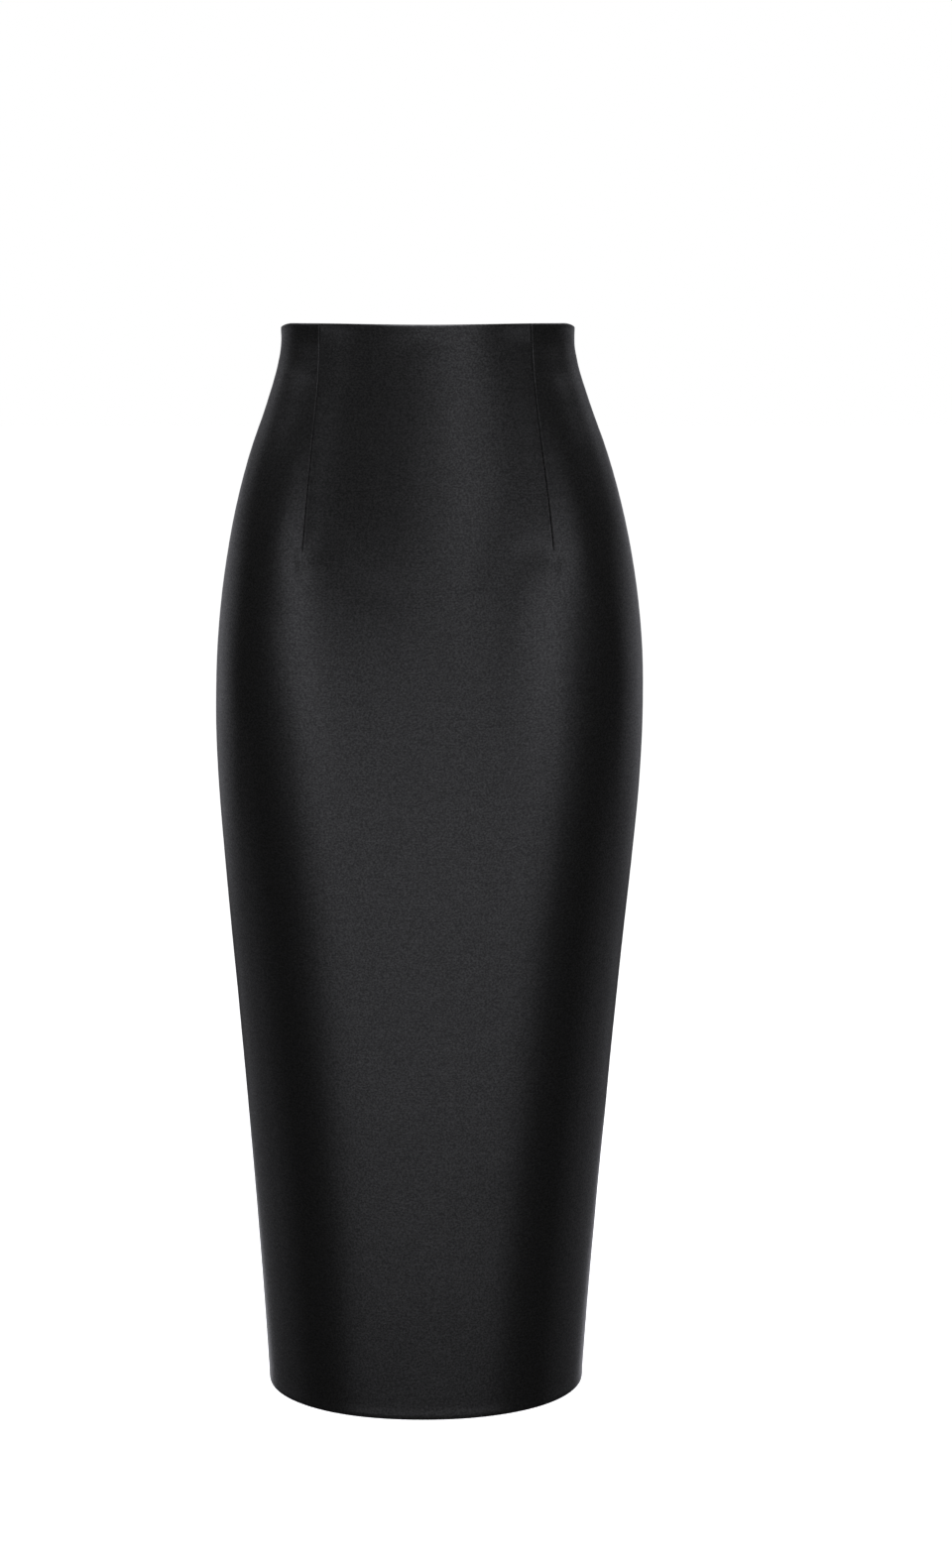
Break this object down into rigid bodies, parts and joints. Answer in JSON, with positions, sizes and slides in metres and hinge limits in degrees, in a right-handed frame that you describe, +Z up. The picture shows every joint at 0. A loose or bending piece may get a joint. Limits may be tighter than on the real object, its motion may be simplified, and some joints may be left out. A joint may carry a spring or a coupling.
{
  "type": "pencil skirt",
  "caption": "High-waisted fitted pencil skirt with front and back darts, a concealed zip and a walking slit at the centre back.",
  "frame": {"origin": "middle of the waist opening, in the plane of the waist's front edge, where the wearer's waist holds the skirt", "axes": "+Z up, the front faces -Y, +X is the wearer's left"},
  "size_m": [0.3389, 0.2397, 0.8552],
  "materials": {
    "satin": "black heavy satin, soft sheen",
    "zip_tape": "black woven tape and nylon coil, matt",
    "zip_metal": "black lacquered zinc, satin"
  },
  "bodies": {
    "skirt": {"front": "satin", "back_left": "satin", "back_right": "satin", "zip_tape_left": "zip_tape", "zip_tape_right": "zip_tape", "zip_slider": "zip_metal"},
    "pull": {"zip_pull": "zip_metal"}
  },
  "joints": [
    {"name": "pull_swing", "type": "hinge", "parent": "skirt", "child": "pull", "pos_m": [0.00092, 0.08684, -0.02539], "axis": [1, 0, 0], "range_deg": [0, 165]}
  ]
}
